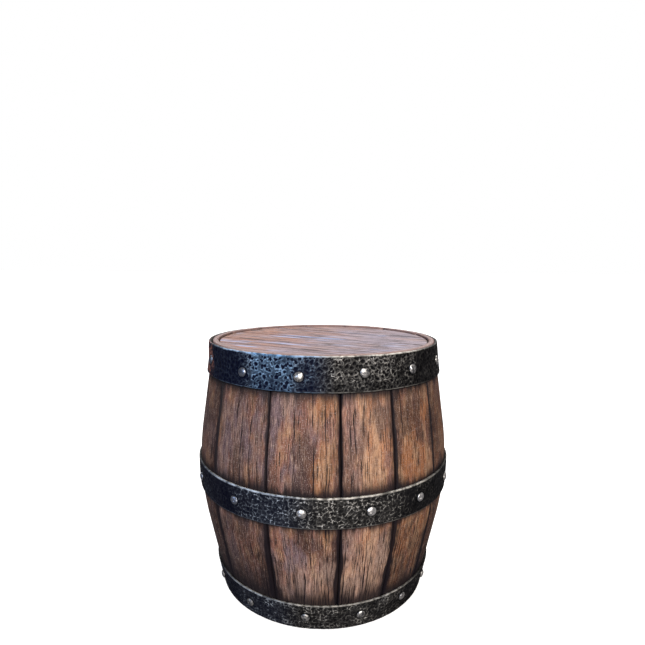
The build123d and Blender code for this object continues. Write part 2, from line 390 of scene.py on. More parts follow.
def stave_wood():
    """Weathered stave: mottled mauve brown, orange and tan, with a dark wash in its grain and edges."""
    g = Graph("weathered_stave_wood")
    grain = g.attribute("grain", "Vector")
    patch = g.stretched(grain, (30, 11, 3), 4)
    patch_2 = g.stretched(grain, (48, 16, 11), 5)
    patch_3 = g.stretched(grain, (26, 10, 17), 5)
    streak = g.stretched(grain, (340, 12, 5), 4)
    stroke = g.stretched(grain, (600, 26, 7), 3)
    fibre = g.stretched(grain, (980, 80, 7), 2)
    speck = g.stretched(grain, (640, 460, 9), 2)
    warm = g.math("ADD", "tint", g.ease(patch, 0.34, 0.66, -0.45, 0.45), clamp=True)
    colour = g.mix(g.ease(warm, 0, 0.5), (0.225, 0.15, 0.165), (0.33, 0.15, 0.11))
    colour = g.mix(g.ease(warm, 0.45, 1), colour, (0.54, 0.225, 0.095))
    gold = g.times(g.ease(patch_2, 0.45, 0.58, 0, 0.9), g.ease(warm, 0.2, 0.8, 0.3, 1))
    colour = g.mix(gold, colour, (0.6, 0.34, 0.19))
    colour = g.layered(colour, [
        (patch_3, 0.48, 0.6, 0, 0.78, (0.07, 0.034, 0.026)),
        (streak, 0.36, 0.5, 0.45, 0, (0.15, 0.065, 0.042)),
        (streak, 0.56, 0.68, 0, 0.35, (0.7, 0.46, 0.33)),
    ])
    # each stave's tone: its own darkness, with painted shade toward the sides and low down
    colour = g.mix("tone_and_painted_shade", colour, (0.035, 0.018, 0.016))
    colour = g.layered(colour, [
        # below 0 the stave's tone is painted light, toward a pale tan
        ("tone_and_painted_shade", -0.4, 0, 0.5, 0, (0.66, 0.46, 0.37)),
        (fibre, 0.38, 0.5, 0.5, 0, (0.085, 0.042, 0.032)),
        (fibre, 0.56, 0.66, 0, 0.3, (0.8, 0.58, 0.46)),
        (stroke, 0.56, 0.61, 0, 0.85, (0.022, 0.012, 0.01)),
        # pale specks: partly painted glints
        (speck, 0.6, 0.66, 0, 0.45, (0.62, 0.5, 0.46)),
        (speck, 0.34, 0.4, 0.5, 0, (0.05, 0.027, 0.022)),
        ("rim", 0, 1, 0, 0.85, (0.29, 0.195, 0.185)),
        # grime and painted shade beside the hoops
        ("grime_and_painted_shade", 0, 1, 0, 0.94, (0.008, 0.006, 0.008)),
        # wash: dirt in the grain and cracks, dark joint lines, and painted shade beside the joints
        ("wash", 0.05, 0.9, 0, 0.97, (0.007, 0.005, 0.008)),
    ])
    roughness = g.ease(streak, 0.3, 0.7, 0.45, 0.62)
    height = g.plus(g.times(fibre, 0.5), g.times(stroke, -0.9))
    height = g.plus(height, g.times(speck, 0.6))
    return g.finish(colour, roughness, Normal=g.bump(height, 0.0012, 0.9), Specular_IOR_Level=0.25)


def head_wood():
    """Worn head boards: mauve brown, warmer in places, bluish streaks of painted reflection, dark seams.
    """
    g = Graph("worn_head_wood")
    grain = g.attribute("grain", "Vector")
    streak = g.stretched(grain, (150, 9, 5), 5)
    patch = g.stretched(grain, (28, 8, 3), 4)
    stroke = g.stretched(grain, (230, 14, 7), 3)
    fibre = g.stretched(grain, (900, 60, 7), 2)
    # mauve where less warm: partly a painted reflection over the brown
    colour = g.mix("warm", (0.345, 0.285, 0.335), (0.36, 0.17, 0.11))
    colour = g.layered(colour, [
        (patch, 0.5, 0.64, 0, 0.5, (0.4, 0.24, 0.18)),
        (streak, 0.38, 0.5, 0.75, 0, (0.115, 0.062, 0.06)),
        (streak, 0.54, 0.66, 0, 0.6, (0.52, 0.42, 0.43)),
        (stroke, 0.55, 0.585, 0, 0.85, (0.03, 0.017, 0.02)),
        (fibre, 0.4, 0.5, 0.4, 0, (0.06, 0.035, 0.036)),
        (fibre, 0.56, 0.66, 0, 0.35, (0.55, 0.5, 0.58)),
    ])
    # bluish streaks: painted reflection
    rub_and_sheen_tint = g.times("streak", g.ease(streak, 0.42, 0.56, 0.15, 1))
    colour = g.layered(colour, [
        (rub_and_sheen_tint, 0.15, 0.8, 0, 0.8, (0.37, 0.44, 0.68)),
        ("wash", 0.1, 0.8, 0, 0.93, (0.016, 0.011, 0.015)),
    ])
    roughness = g.ease(streak, 0.3, 0.7, 0.5, 0.68)
    height = g.plus(g.times(fibre, 0.5), g.times(stroke, -0.8))
    return g.finish(colour, roughness, Normal=g.bump(height, 0.001, 0.8), Specular_IOR_Level=0.15)


def hammered_iron():
    """Blackened iron, its hammered ridges and edges rubbed pale, with painted highlight and cool
    reflection.
    """
    g = Graph("hammered_black_iron")
    position = g.position()
    grit = g.noise(position, 1100, 2)
    fine = g.noise(position, 380, 3, 0.6)
    patch = g.noise(position, 30, 3)
    blotch = g.noise(position, 120, 3)
    broken = g.times(g.ease(blotch, 0.36, 0.62, 0.3, 1), g.ease(fine, 0.36, 0.6, 0.35, 1))
    ridge = g.times("ridge", broken)
    # edge: wear with painted highlight
    edge = g.times("edge", g.ease(blotch, 0.36, 0.56, 0.25, 0.9))
    wear_and_painted_light = g.math("MAXIMUM", ridge, edge)
    # blue on the rubbed crests and edges: blue paint, partly a painted reflection of a cool light
    rub_and_sheen_tint = g.mix("blue_and_painted_cool_light", (0.96, 0.92, 0.86), (0.39, 0.65, 1))
    edge_colour = g.mix("blue_and_painted_cool_light", (0.92, 0.88, 0.78), (0.26, 0.53, 0.95))
    rub_and_sheen_tint = g.mix("edge", rub_and_sheen_tint, edge_colour)
    base = g.mix(g.ease(patch, 0.35, 0.7), (0.0015, 0.0015, 0.002), (0.006, 0.006, 0.007))
    # bluish dark ground: painted reflection of a cool light
    base = g.mix(g.times("blue_and_painted_cool_light", 0.8), base, (0.001, 0.0028, 0.018))
    rust = g.times("rust", g.ease(blotch, 0.44, 0.56, 0.05, 1))
    base = g.mix(rust, base, (0.22, 0.095, 0.07))
    colour = g.mix(wear_and_painted_light, base, rub_and_sheen_tint)
    roughness = g.ease(grit, 0.3, 0.7, 0.34, 0.54)
    height = g.plus(fine, g.times(grit, 0.5))
    normal = g.bump(height, 0.0007, 0.6)
    return g.finish(colour, roughness, Normal=normal, Specular_IOR_Level=0.07)


def nail_metal():
    """Pewter-coloured nail head, dark in its dents, with painted shade round its foot and painted cool
    light.
    """
    g = Graph("dull_nail_steel")
    position = g.position()
    blotch = g.noise(position, 260, 4)
    grit = g.noise(position, 1000, 2)
    colour = g.mix(g.ease(blotch, 0.38, 0.6), (0.14, 0.14, 0.15), (0.8, 0.78, 0.74))
    colour = g.mix("pale", colour, (0.95, 0.93, 0.92))
    # painted cool light: bluish dark heads at the left
    colour = g.mix("blue_and_painted_cool_light", colour, (0.1, 0.14, 0.22))
    # painted shade round the foot of each head
    colour = g.mix(g.ease("painted_foot_shade", 0.2, 1, 0, 0.95), colour, (0.01, 0.01, 0.012))
    roughness = g.ease(blotch, 0.3, 0.7, 0.46, 0.3)
    normal = g.bump(g.plus(blotch, grit), 0.0004, 0.5)
    return g.finish(colour, roughness, Normal=normal, Metallic=0.85)


def turned_metal():
    """Tarnished brass with fine turning marks."""
    g = Graph("tarnished_brass")
    position = g.position()
    blotch = g.noise(position, 160, 5)
    marks = g.stretched(position, (200, 1600, 1600), 2)
    colour = g.mix(g.ease(blotch, 0.35, 0.65), (0.16, 0.105, 0.045), (0.5, 0.35, 0.14))
    roughness = g.ease(blotch, 0.3, 0.7, 0.55, 0.32)
    return g.finish(colour, roughness, Normal=g.bump(g.plus(blotch, marks), 0.0003, 0.4), Metallic=0.9)


def end_grain_wood():
    """Turned wooden plug: growth rings across its face."""
    g = Graph("turned_plug_wood")
    grain = g.attribute("grain", "Vector")
    wobble = g.noise(grain, 60, 2)
    across = g.node("VectorMath", {0: grain}, operation="LENGTH").outputs["Value"]
    rings = g.math("SINE", g.plus(g.times(across, 1500.0), g.times(wobble, 14.0)))
    fibre = g.noise(grain, 1500, 3)
    colour = g.mix(g.ease(rings, -1, 1), (0.2, 0.105, 0.05), (0.42, 0.27, 0.15))
    colour = g.layered(colour, [
        (fibre, 0.3, 0.7, 0.35, 0, (0.04, 0.025, 0.018)),
        ("wash", 0, 1, 0, 0.9, (0.015, 0.01, 0.01)),
    ])
    return g.finish(colour, 0.6, Normal=g.bump(g.plus(rings, fibre), 0.0003, 0.5), Specular_IOR_Level=0.3)


def plain_dowel_wood():
    g = Graph("dowel_wood")
    streak = g.stretched(g.position(), (60, 60, 900), 4)
    colour = g.mix(g.ease(streak, 0.35, 0.65), (0.33, 0.21, 0.12), (0.5, 0.36, 0.22))
    return g.finish(colour, 0.65, Normal=g.bump(streak, 0.0003, 0.5))


# ---- staves

JOINT_INSET = 0.25 * MM
EDGE_ROUNDING = 7.5 * MM
EDGE_DROP = 4.4 * MM
END_ROUNDING = 2.2 * MM
RIM_PALE = 5 * MM  # height of the rubbed end of each stave
GRID_ACROSS = 0.85 * MM
GRID_ALONG = 2.2 * MM
INNER_COLUMNS = 7
# each stave's colour (0 mauve brown to 1 orange), how dark it is (its own tone and painted shade; below 0
# painted light), how much warmer at its right side, and how much darker at its foot as painted shade
# (below 0: paler, as painted light)
STAVE_LOOKS = (
    (0.5, 0.6, 0.2, 0.35), (0.12, 0.28, 0.15, 0.48), (0.4, 0.16, 0.75, -0.48), (0.72, -0.13, 0.15, -0.36),
    (0.95, 0.3, 0.1, 0.38), (0.9, 0.66, 0.2, 0.3), (0.4, 0.3, 0.3, 0.25), (0.75, 0.1, -0.3, 0.3),
    (0.3, 0.35, 0.2, 0.2), (0.6, 0.15, 0.4, 0.3), (0.85, 0.4, -0.2, 0.15), (0.35, 0.1, 0.3, 0.3),
    (0.65, 0.3, 0.2, 0.25),
)
# how far the grime and painted shade reach below and above each hoop, in mm
HOOP_GRIME_AND_SHADE = {"top_hoop": (11.5, 9), "bilge_hoop": (9, 13), "bottom_hoop": (9, 32)}
STAVE_SEED = 100
GRIME_AND_SHADE_SEED = 40


def hoop_grime_and_shade(z, angle):
    """Grime and painted shade on the wood beside each hoop: 1 at its edge, fading away from it."""
    streaky = noise(angle * 52, z / 0.05, GRIME_AND_SHADE_SEED) + 0.7 * noise(angle * 11, 0, GRIME_AND_SHADE_SEED + 1)
    ragged = np.maximum(1.1 + 0.6 * streaky, 0.3)
    grime_and_painted_shade = np.zeros(np.broadcast(z, angle).shape)
    for hoop, (below, above) in HOOP_GRIME_AND_SHADE.items():
        low, high = hoop_span(hoop)
        reach = np.where(z < low, below * MM, above * MM) * ragged
        away = np.maximum(np.maximum(low - z, z - high), 0)
        grime_and_painted_shade = np.maximum(grime_and_painted_shade, np.exp(-((away / reach) ** 1.4)))
    return grime_and_painted_shade


def inner_radius(z):
    """Radius of the staves' inner face, with the chime and croze cut in it."""
    from_end = np.minimum(z, KEG_HEIGHT - z)
    radius = np.where(from_end < CHIME_DEPTH, CHIME_RADIUS, CROZE_RADIUS)
    in_croze = from_end < CHIME_DEPTH + CROZE_WIDTH
    return np.where(in_croze, radius, stave_radius(z) - STAVE_THICKNESS)


def stave_heights():
    """Row heights: even, with close rows at the rounded ends and at each step of the inner face."""
    ends = np.array([0, 0.15, 0.5, 1.0, 1.6, 2.2]) * MM
    steps = [CHIME_DEPTH - 0.01 * MM, CHIME_DEPTH + 0.01 * MM]
    steps += [step + CROZE_WIDTH for step in steps]
    near = np.concatenate([ends, steps])
    count = round((KEG_HEIGHT - 2 * ends[-1]) / GRID_ALONG)
    even = np.linspace(ends[-1], KEG_HEIGHT - ends[-1], count)
    return np.unique(np.round(np.concatenate([near, even, KEG_HEIGHT - near]), 7))


def joint_dirt_and_shade(edge, z, number, wider):
    """Dark along a stave's edges: a line in the joint and a ragged stain of dirt and painted shade beside
    it.
    """
    ragged = 1 + 0.5 * noise(z / 0.045, number, 21) + 0.25 * noise(z / 0.012, number, 22)
    low = 1 - smooth(z, 120 * MM, 220 * MM)
    ragged = ragged * wider
    line = 1 - smooth(edge, (1.2 + 1.8 * low) * MM * ragged, (4.6 + 3.6 * low) * MM * ragged)
    speckled = 0.62 + 0.2 * noise(edge / 0.0022, z / 0.006, 23 + number)
    stain = speckled * np.exp(-((edge / ((8.0 + 5 * low) * MM * ragged**1.5)) ** 1.6))
    return np.maximum(line, stain)


def stave_piece(number, material):
    """One bowed stave: a weathered outer face, plain sides and a plain inner face."""
    node = f"stave_{number:02d}"
    start, end = angle_span(node)
    width = (end - start) * BILGE_RADIUS
    columns = round(width / GRID_ACROSS)
    z = stave_heights()[:, None]
    from_end = np.minimum(z, KEG_HEIGHT - z)
    share = np.linspace(0, 1, columns)[None, :]
    radius = stave_radius(z)
    inset = JOINT_INSET / radius
    angle = (start + inset) + share * (end - start - 2 * inset)
    across = share * width

    low = 1 - smooth(z, 120 * MM, 230 * MM)
    lined = 0.35 + 0.6 * low
    depth, wash = wood_relief(across, z, width, KEG_HEIGHT, STAVE_SEED + number, lined)
    on_left = across < width - across
    edge = np.minimum(across, width - across)
    side = np.where(on_left, 0, 50) + number
    ragged = 1 + 0.35 * noise(z / 0.05, side, 3) + 0.2 * noise(z / 0.013, side, 4)
    bare = smooth(from_end, 12 * MM, 30 * MM)
    drop = EDGE_DROP * (0.15 + 0.85 * bare)
    depth = depth * (0.3 + 0.7 * bare) + rounded(edge, EDGE_ROUNDING * ragged, drop)
    # dark joint lines, and beside them dirt with painted shade
    wash = np.maximum(wash, bare * joint_dirt_and_shade(edge, z, side, np.where(on_left, 1.0, 1.3)))
    rim = 1 - smooth(from_end, 0.5 * RIM_PALE, RIM_PALE)
    wash = wash * (1 - 0.85 * rim)
    tint, tone_and_painted_shade, lean, painted_foot_shade = STAVE_LOOKS[number - 1]
    tint = tint + lean * (share - 0.5)
    painted_foot_shade = painted_foot_shade + min(painted_foot_shade, 0) * (share - 0.5)
    # painted shade low on each stave, and painted light where its foot value is below 0
    tone_and_painted_shade = tone_and_painted_shade + painted_foot_shade * (1 - smooth(z, 70 * MM, 215 * MM))
    rounding = rounded(from_end, END_ROUNDING, END_ROUNDING)
    outer = around(radius - depth - rounding, angle, z)

    inner_share = np.linspace(1, 0, INNER_COLUMNS)[None, :]
    inner_angle = start + inset + inner_share * (end - start - 2 * inset)
    inner = around(inner_radius(z) + 0.5 * rounding, inner_angle, z)

    points = np.concatenate([outer, inner], axis=1)
    index = shell_index(points)
    faces = grid_faces(index, wrap_columns=True)
    for row in (0, -1):
        faces += bridge(index[row, :columns].tolist(), index[row, columns:][::-1].tolist())

    # grime and painted shade beside the hoops, left off the rubbed ends
    grime_and_painted_shade = hoop_grime_and_shade(z, angle) * (1 - rim)
    values = {
        "wash": (wash, 0.2), "grime_and_painted_shade": (grime_and_painted_shade, 0.0), "tint": (tint, 0.6), "tone_and_painted_shade": (tone_and_painted_shade, 0.2),
        "rim": (rim, rim), "x": (across, inner_share * width), "y": (z, z), "z": (number, number),
    }
    attributes = shell_values(values, outer, inner, 1)
    attributes["grain"] = np.stack([attributes.pop(key) for key in "xyz"], axis=-1)
    name = f"weathered_{node}"
    return mesh_piece(name, node, points, faces, material, attributes)


# ---- turned pieces


def placed(points, z, angle, lift=0):
    """Points moved onto the staves' outer face: X along the hoop, Y up the stave, Z outward."""
    tilt = stave_tilt(z)
    radial = Vector((math.sin(angle), -math.cos(angle), 0))
    outward = radial * math.cos(tilt) + Vector((0, 0, math.sin(tilt)))
    tangent = Vector((math.cos(angle), math.sin(angle), 0))
    origin = radial * (float(stave_radius(z)) + lift) + Vector((0, 0, z))
    return np.array(origin) + points @ np.array([tangent, outward.cross(tangent), outward])


def rings_of(profile, segments):
    """One ring of points for each (radius, height)."""
    turn = np.linspace(0, 2 * math.pi, segments, endpoint=False)
    return np.array([[(r * math.cos(t), r * math.sin(t), h) for t in turn] for r, h in profile])


def turned(profile, segments, wobble=None):
    """Closed solid turned from (radius, height) points; the first and last lie on the axis."""
    rings = rings_of(profile[1:-1], segments)
    if wobble is not None:
        rings = wobble(rings)
    points = np.concatenate([[(0, 0, profile[0][1])], rings.reshape(-1, 3), [(0, 0, profile[-1][1])]])
    index = 1 + shell_index(rings)
    faces = grid_faces(index, wrap_columns=True)
    last = len(points) - 1
    for k in range(segments):
        after = (k + 1) % segments
        faces.append((0, index[0, after], index[0, k]))
        faces.append((last, index[-1, k], index[-1, after]))
    return points, faces


def ring_turned(profile, segments):
    """Closed ring turned from a closed (radius, height) outline that stays off the axis."""
    rings = rings_of(profile, segments)
    return rings.reshape(-1, 3), grid_faces(shell_index(rings), wrap_columns=True, wrap_rows=True)


# ---- nails and rivets

NAIL_HEAD_RADIUS = 7.5 * MM
NAIL_HEAD_HEIGHT = 3.8 * MM
NAIL_SHANK_RADIUS = 2.5 * MM
NAIL_DEPTH = 16 * MM
NAIL_SEGMENTS = 28
DOME_STEPS = 8
NAIL_SEED = 700
BLUE_NAILS = (-52, 14, 14)  # middle, half width and fade of the heads with painted cool light, in degrees
# size and depth of the dents in a node's nail heads, painted cool light on them at the left, and how pale
PLAIN_NAILS = (3.8 * MM, 0.8 * MM, 0.75, 0.0)
NAIL_LOOKS = {
    "bilge_hoop_nails": (2.3 * MM, 1.3 * MM, 0.75, 0.45),
    "bottom_hoop_nails": (3.8 * MM, 0.8 * MM, 0.1, 0.0),
}


def nail_profile(shank_length):
    """From the top of the dome, round its rolled edge and down the shank."""
    turns = [math.radians(90 * k / DOME_STEPS) for k in range(1, DOME_STEPS + 1)]
    dome = [(NAIL_HEAD_RADIUS * math.sin(t), NAIL_HEAD_HEIGHT * math.cos(t) ** 0.9) for t in turns]
    under = [(NAIL_HEAD_RADIUS * 0.97, -0.5 * MM), (NAIL_SHANK_RADIUS, -0.5 * MM)]
    shank = [(NAIL_SHANK_RADIUS, -shank_length * 0.8), (0.5 * MM, -shank_length)]
    return [(0, NAIL_HEAD_HEIGHT)] + dome + under + shank + [(0, -shank_length)]


def nail_set(name, node, lift, shank_length, material, seed):
    """All the nails of a node, each head dented in its own way."""
    profile = nail_profile(shank_length)
    dent_size, dent_depth, bluish, paleness = NAIL_LOOKS.get(node, PLAIN_NAILS)
    all_points, all_faces, painted_foot_shade, blue_and_painted_cool_light = [], [], [], []
    for k, (angle, z) in enumerate(fastener_spots(node, lift)):

        def dent(rings, k=k):
            on_head = rings[..., 2] > -0.1 * MM
            lump = noise(rings[..., 0] / dent_size + 31 * k, rings[..., 1] / dent_size, seed)
            rings[..., 2] -= dent_depth * smooth(lump, 0.0, 0.9) * on_head
            turn = np.arctan2(rings[..., 1], rings[..., 0])
            out_of_round = 1 + 0.04 * noise(3 * np.cos(turn), 3 * np.sin(turn) + 9 * k, seed + 5)
            rings[..., :2] *= np.where(on_head, out_of_round, 1)[..., None]
            return rings

        points, faces = turned(profile, NAIL_SEGMENTS, dent)
        offset = k * len(points)
        # painted shade low on each head, where it meets the hoop
        painted_foot_shade.append(1 - smooth(points[:, 2], -0.2 * MM, 1.9 * MM))
        # painted cool light on the heads at the left
        blue_and_painted_cool_light.append(np.full(len(points), bluish * window(angle, *BLUE_NAILS)))
        all_points.append(placed(points, z, angle, lift))
        all_faces += [tuple(i + offset for i in face) for face in faces]
    points = np.concatenate(all_points)
    pale = np.full(len(points), paleness)
    attributes = {"painted_foot_shade": np.concatenate(painted_foot_shade), "blue_and_painted_cool_light": np.concatenate(blue_and_painted_cool_light), "pale": pale}
    mesh_piece(name, node, points, all_faces, material, attributes)


# ---- hoops

LAP_HALF_ANGLE = math.radians(8)
LAP_STEP = 0.004  # angle in which the hoop thickens to its lap
HOOP_GRID = 0.93 * MM
HOOP_EDGE = 0.9 * MM
HOOP_CLEARANCE = 0.1 * MM
HOOP_RAGGED = 0.55 * MM  # how far its edges wander
SEAT_RADIUS = 11 * MM  # of the flat round each nail
SEAT_DIP = 0.3 * MM
HOOP_SEED = 500
# spacing of the hammer marks, how bright the polished land (partly painted highlight), the rims of
# the dents and the ground between them are, depth of the dents, and width of the rubbed edge, which
# also carries painted highlight
HOOP_LOOKS = {
    "top_hoop": (7.6 * MM, 0.19, 0.42, 0.0, 1.2 * MM, 2.0 * MM),
    "bilge_hoop": (7.2 * MM, 0.1, 0.12, 0.03, 0.7 * MM, 2.6 * MM),
    "bottom_hoop": (7.0 * MM, 0.1, 0.22, 0.03, 0.9 * MM, 2.0 * MM),
}
TOP_HOOP_FLARE = 1.0 * MM  # how far its top edge stands off the staves
TOP_HOOP_LEFT_FLARE = 2.2 * MM  # more, where its top edge stands off at the left


# stretches round the keg as the photo shows them, in degrees: middle, half width and fade
PAINTED_EDGE_LIGHT = (-2, 34, 28)  # edges brightened as painted highlight
POLISHED_AND_HIGHLIGHT = (-22, 8, 9)  # the top hoop's dents rimmed with bright rings, partly painted highlight
# bluish stretches: blue paint, partly a painted reflection of a cool light
TOP_BLUE, BILGE_BLUE, BOTTOM_BLUE = (-42, 36, 12), (-38, 20, 18), (-42, 18, 16)
# crests rubbed brighter at the front: wear and painted light
TOP_RUBBED_AND_PAINTED_LIGHT, BILGE_RUBBED_AND_PAINTED_LIGHT, BOTTOM_RUBBED_AND_PAINTED_LIGHT = (0, 18, 30), (-1, 26, 15), (0, 30, 20)
# a darker stretch at the left of the top hoop: painted shade
TOP_PAINTED_SHADE = (-62, 22, 8)
TOP_RUST = (-80, 14, 5)
LEFT_FLARE = (-85, 25, 45)


def apart(angle, other):
    """Unsigned angle between two directions round the keg."""
    return np.abs(np.angle(np.exp(1j * (angle - other))))


def round_noise(angle, up, per_radian, per_metre, seed):
    """Noise over a hoop with no seam where it closes."""
    return noise(np.cos(angle) * per_radian + up * per_metre, np.sin(angle) * per_radian, seed)


def lap_share(node, angle):
    """1 over the riveted lap of a hoop, 0 elsewhere."""
    low, high = hoop_span(node)
    rivets = [turn for turn, z in fastener_spots("hoop_lap_rivets", 0) if low < z < high]
    centre = np.angle(np.mean(np.exp(1j * np.array(rivets))))
    return 1 - smooth(apart(angle, centre), LAP_HALF_ANGLE - LAP_STEP, LAP_HALF_ANGLE)


def nail_seats(node, angle, z, radius):
    """1 under and close round each nail head, fading to 0."""
    seats = np.zeros(np.broadcast(angle, z).shape)
    for turn, height in fastener_spots(node + "_nails", HOOP_THICKNESS):
        away = np.hypot(apart(angle, turn) * radius, z - height)
        seats = np.maximum(seats, 1 - smooth(away, NAIL_HEAD_RADIUS, SEAT_RADIUS))
    return seats


def hammer_marks(angle, up, radius, spacing, seed):
    """Round dents crowded together: depth of each (0 to 1), their crests and the land between them."""
    count = round(2 * math.pi * radius / spacing)
    bend_x, bend_y = [
        0.2 * round_noise(angle, up, 36, side * 80, seed + k)
        + 0.13 * round_noise(angle, up, 90, side * 260, seed + 9 + k)
        for k, side in enumerate((1, -1))
    ]
    x = (angle + math.pi) / (2 * math.pi) * count + bend_x
    nearest, second, own = cells(x, up / spacing + bend_y, count, seed + 2)
    size = 0.43 + 0.1 * own
    bowl = np.clip(1 - (nearest / size) ** 2, 0, 1) * (0.75 + 0.25 * own)
    crest = np.exp(-(((nearest - size) / 0.07) ** 2))
    net = 1 - smooth(second - nearest, 0.02, 0.1)
    arcs = 0.22 + 0.78 * smooth(round_noise(angle, up, 44, 150, seed + 3), -0.4, 0.2)
    return bowl, crest, net * arcs, smooth(nearest, 0.8 * size, 1.1 * size)


def window(angle, centre, half, fade):
    """1 within an angle of a direction round the keg, fading to 0 (degrees)."""
    away = np.degrees(apart(angle, math.radians(centre)))
    return 1 - smooth(away, half, half + fade)


def wear_and_painted_light_patches(node, angle, up, seed):
    """Crests' brightness (wear and painted light), blueness, and bright rings (polish and painted
    highlight).
    """
    cloud = 0.5 + 0.5 * round_noise(angle, up, 5, 30, seed)
    wear_and_painted_light = 0.05 + 0.5 * smooth(cloud, 0.3, 0.8)
    hot = 0.45 + 0.55 * smooth(round_noise(angle, up, 12, 50, seed + 2), -0.4, 0.3)
    polished_and_painted_highlight = 0.0
    if node == "top_hoop":
        # bright rings at the front left: polish and painted highlight
        polished_and_painted_highlight = window(angle, *POLISHED_AND_HIGHLIGHT)
        blue_and_painted_cool_light = np.maximum(0.8 * window(angle, *TOP_BLUE), polished_and_painted_highlight)
        # painted shade at the left of the top hoop
        wear_and_painted_light = np.maximum(0.7 * wear_and_painted_light * (1 - 0.95 * window(angle, *TOP_PAINTED_SHADE)), polished_and_painted_highlight)
        # brighter at the front: wear and painted light
        wear_and_painted_light = np.maximum(wear_and_painted_light, 0.92 * hot * window(angle, *TOP_RUBBED_AND_PAINTED_LIGHT))
        level = up + 9 * MM * round_noise(angle, up, 9, 30, seed + 4)
        wear_and_painted_light = wear_and_painted_light * (0.45 + 0.55 * smooth(level, 4 * MM, 24 * MM))
    if node == "bilge_hoop":
        wear_and_painted_light = np.maximum(0.4 * wear_and_painted_light, (0.3 + 0.55 * hot) * window(angle, *BILGE_RUBBED_AND_PAINTED_LIGHT))
        blue_and_painted_cool_light = 0.5 * window(angle, *BILGE_BLUE)
    if node == "bottom_hoop":
        wear_and_painted_light = np.maximum(0.7 * wear_and_painted_light, 0.7 * hot * window(angle, *BOTTOM_RUBBED_AND_PAINTED_LIGHT))
        blue_and_painted_cool_light = 0.35 * smooth(round_noise(angle, up, 4, 20, seed + 1), 0.1, 0.8)
        blue_and_painted_cool_light = 0.5 * np.maximum(blue_and_painted_cool_light, 0.8 * window(angle, *BOTTOM_BLUE))
    return np.maximum(wear_and_painted_light, 0.08), blue_and_painted_cool_light, polished_and_painted_highlight


def edge_wear_and_highlight(node, angle, up, height, width, seed):
    """How bright a hoop's edges are from wear and painted highlight, and the painted light in each
    direction.
    """
    # painted light: edges brighter at the front, dimmer on the bottom hoop
    painted_light = (0.08 + 0.92 * window(angle, *PAINTED_EDGE_LIGHT)) * (0.55 if node == "bottom_hoop" else 1.0)
    patchy = 0.75 + 0.35 * round_noise(angle, up, 38, 0, seed)
    upper = painted_light * patchy * (1 - smooth(height - up, 0.4 * width, width))
    lower = 0.35 * painted_light * (1 - smooth(up, 0.3 * MM, 1.3 * MM))
    return np.maximum(upper, lower), painted_light


def hoop_rust(node, angle, up, seed):
    """A little rust at the back, and a patch at the far left of the top hoop."""
    rust = 0.35 * smooth(round_noise(angle, up, 7, 20, seed), 0.6, 0.95)
    rust = rust * smooth(np.cos(angle), 0.2, -0.2)
    if node == "top_hoop":
        ragged = 0.1 * round_noise(angle, up, 26, 60, seed + 1)
        rust = np.maximum(rust, window(angle + ragged, *TOP_RUST))
    return rust


